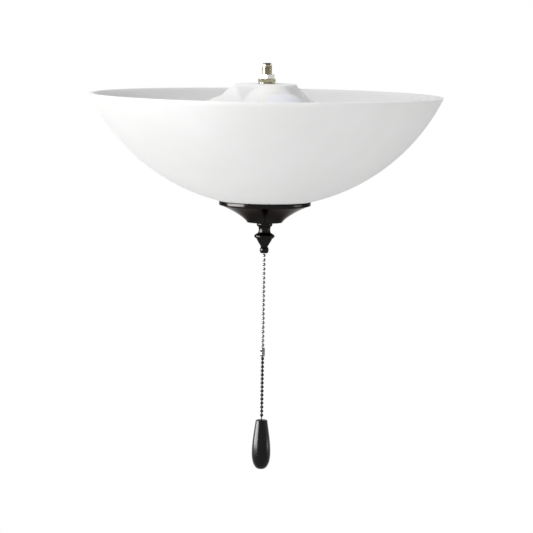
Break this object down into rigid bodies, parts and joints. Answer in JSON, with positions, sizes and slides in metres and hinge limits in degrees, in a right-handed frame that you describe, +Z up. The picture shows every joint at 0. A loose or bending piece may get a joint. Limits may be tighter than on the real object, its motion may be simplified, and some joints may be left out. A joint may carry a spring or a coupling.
{
  "type": "ceiling fan light kit",
  "caption": "Bowl light fitting that screws under a ceiling fan: a hollow threaded stem, hooded lamp fitter, opal glass bowl, dark cap and finial, and a ball chain with a drop-shaped pull.",
  "frame": {"origin": "on the stem's axis, at the top face of the upper locknut", "axes": "+Z up along the stem's axis, away from the bowl; -Y towards the camera of the picture; +X to its right"},
  "size_m": [0.33, 0.33, 0.3803],
  "materials": {
    "brass_plate": "bright plated",
    "bright_zinc": "bright zinc plated",
    "plated_steel": "dull zinc plated",
    "white_enamel": "gloss white enamel",
    "black_plastic": "moulded, satin",
    "white_porcelain": "glazed white porcelain",
    "opal_glass": "opal white, satin etched",
    "frosted_bulb": "frosted inside",
    "bulb_base_aluminium": "plain rolled",
    "dark_bronze": "dark bronze lacquer, semi-gloss",
    "nickel": "nickel plated",
    "black_chain": "blackened, semi-gloss",
    "black_lacquer": "turned, high-gloss black lacquer",
    "rubber": "moulded",
    "black_lead": "insulated wire",
    "white_lead": "insulated wire"
  },
  "bodies": {
    "fitting": {"threaded_nipple": "brass_plate", "wire_bushing": "black_plastic", "upper_locknut": "bright_zinc", "lower_locknut": "brass_plate", "star_washer": "brass_plate", "nipple_inner_nut": "plated_steel", "fitter_housing": "white_enamel", "socket_spider": "plated_steel", "lampholder_1": "white_porcelain", "holder_screw_1": "bright_zinc", "screw_shell_1": "brass_plate", "centre_contact_1": "brass_plate", "bulb_base_1": "bulb_base_aluminium", "bulb_glass_1": "frosted_bulb", "black_lead_1": "black_lead", "white_lead_1": "white_lead", "lampholder_2": "white_porcelain", "holder_screw_2": "bright_zinc", "screw_shell_2": "brass_plate", "centre_contact_2": "brass_plate", "bulb_base_2": "bulb_base_aluminium", "bulb_glass_2": "frosted_bulb", "black_lead_2": "black_lead", "white_lead_2": "white_lead", "lampholder_3": "white_porcelain", "holder_screw_3": "bright_zinc", "screw_shell_3": "brass_plate", "centre_contact_3": "brass_plate", "bulb_base_3": "bulb_base_aluminium", "bulb_glass_3": "frosted_bulb", "black_lead_3": "black_lead", "white_lead_3": "white_lead", "switch_yoke": "plated_steel", "switch_case": "black_plastic", "switch_cover": "black_plastic", "drum_pin": "plated_steel", "return_spring": "plated_steel", "switch_nozzle": "brass_plate", "switch_screw": "bright_zinc", "centre_rod": "bright_zinc", "rod_top_nut": "bright_zinc", "rod_jam_nut": "bright_zinc", "check_nut": "bright_zinc", "steel_washer": "plated_steel", "rubber_washer": "rubber", "glass_bowl": "opal_glass", "bowl_cap": "dark_bronze", "finial": "dark_bronze"},
    "switch_drum": {"switch_drum": "black_plastic"},
    "chain_run": {"inner_chain": "nickel"},
    "chain_pivot": {"exit_bead": "nickel"},
    "upper_chain": {"upper_chain": "nickel"},
    "coupling": {"chain_coupling": "nickel"},
    "lower_chain": {"lower_chain": "black_chain"},
    "pull_pivot": {"pull_end_bead": "black_chain"},
    "pull": {"pull_pendant": "black_lacquer", "pull_retainer": "black_chain"}
  },
  "joints": [
    {"name": "chain_pull", "type": "slide", "parent": "fitting", "child": "chain_run", "axis": [0, 0, -1], "range_m": [0, 0.008], "stiffness_N_per_m": 1000, "springref_m": -0.004},
    {"name": "drum_turn", "type": "hinge", "parent": "fitting", "child": "switch_drum", "pos_m": [-0.00395, 0.00144, -0.0305], "axis": [0.342, 0.9397, 0], "range_deg": [0, 110]},
    {"name": "chain_swing_x", "type": "hinge", "parent": "chain_run", "child": "chain_pivot", "pos_m": [0, 0, -0.16909], "axis": [1, 0, 0], "range_deg": [-45, 45]},
    {"name": "chain_swing_y", "type": "hinge", "parent": "chain_pivot", "child": "upper_chain", "pos_m": [0, 0, -0.16909], "axis": [0, 1, 0], "range_deg": [-45, 45]},
    {"name": "coupling_tilt", "type": "hinge", "parent": "upper_chain", "child": "coupling", "pos_m": [0, 0, -0.25729], "axis": [1, 0, 0], "range_deg": [-25, 25]},
    {"name": "lower_chain_tilt", "type": "hinge", "parent": "coupling", "child": "lower_chain", "pos_m": [0, 0, -0.26209], "axis": [0, 1, 0], "range_deg": [-25, 25]},
    {"name": "pull_tilt_x", "type": "hinge", "parent": "lower_chain", "child": "pull_pivot", "pos_m": [0, 0, -0.32699], "axis": [1, 0, 0], "range_deg": [-11, 11]},
    {"name": "pull_tilt_y", "type": "hinge", "parent": "pull_pivot", "child": "pull", "pos_m": [0, 0, -0.32699], "axis": [0, 1, 0], "range_deg": [-11, 11]}
  ],
  "couplings": [
    {"joint": "drum_turn", "follows": "chain_pull", "rad_per_m": 238.1}
  ]
}
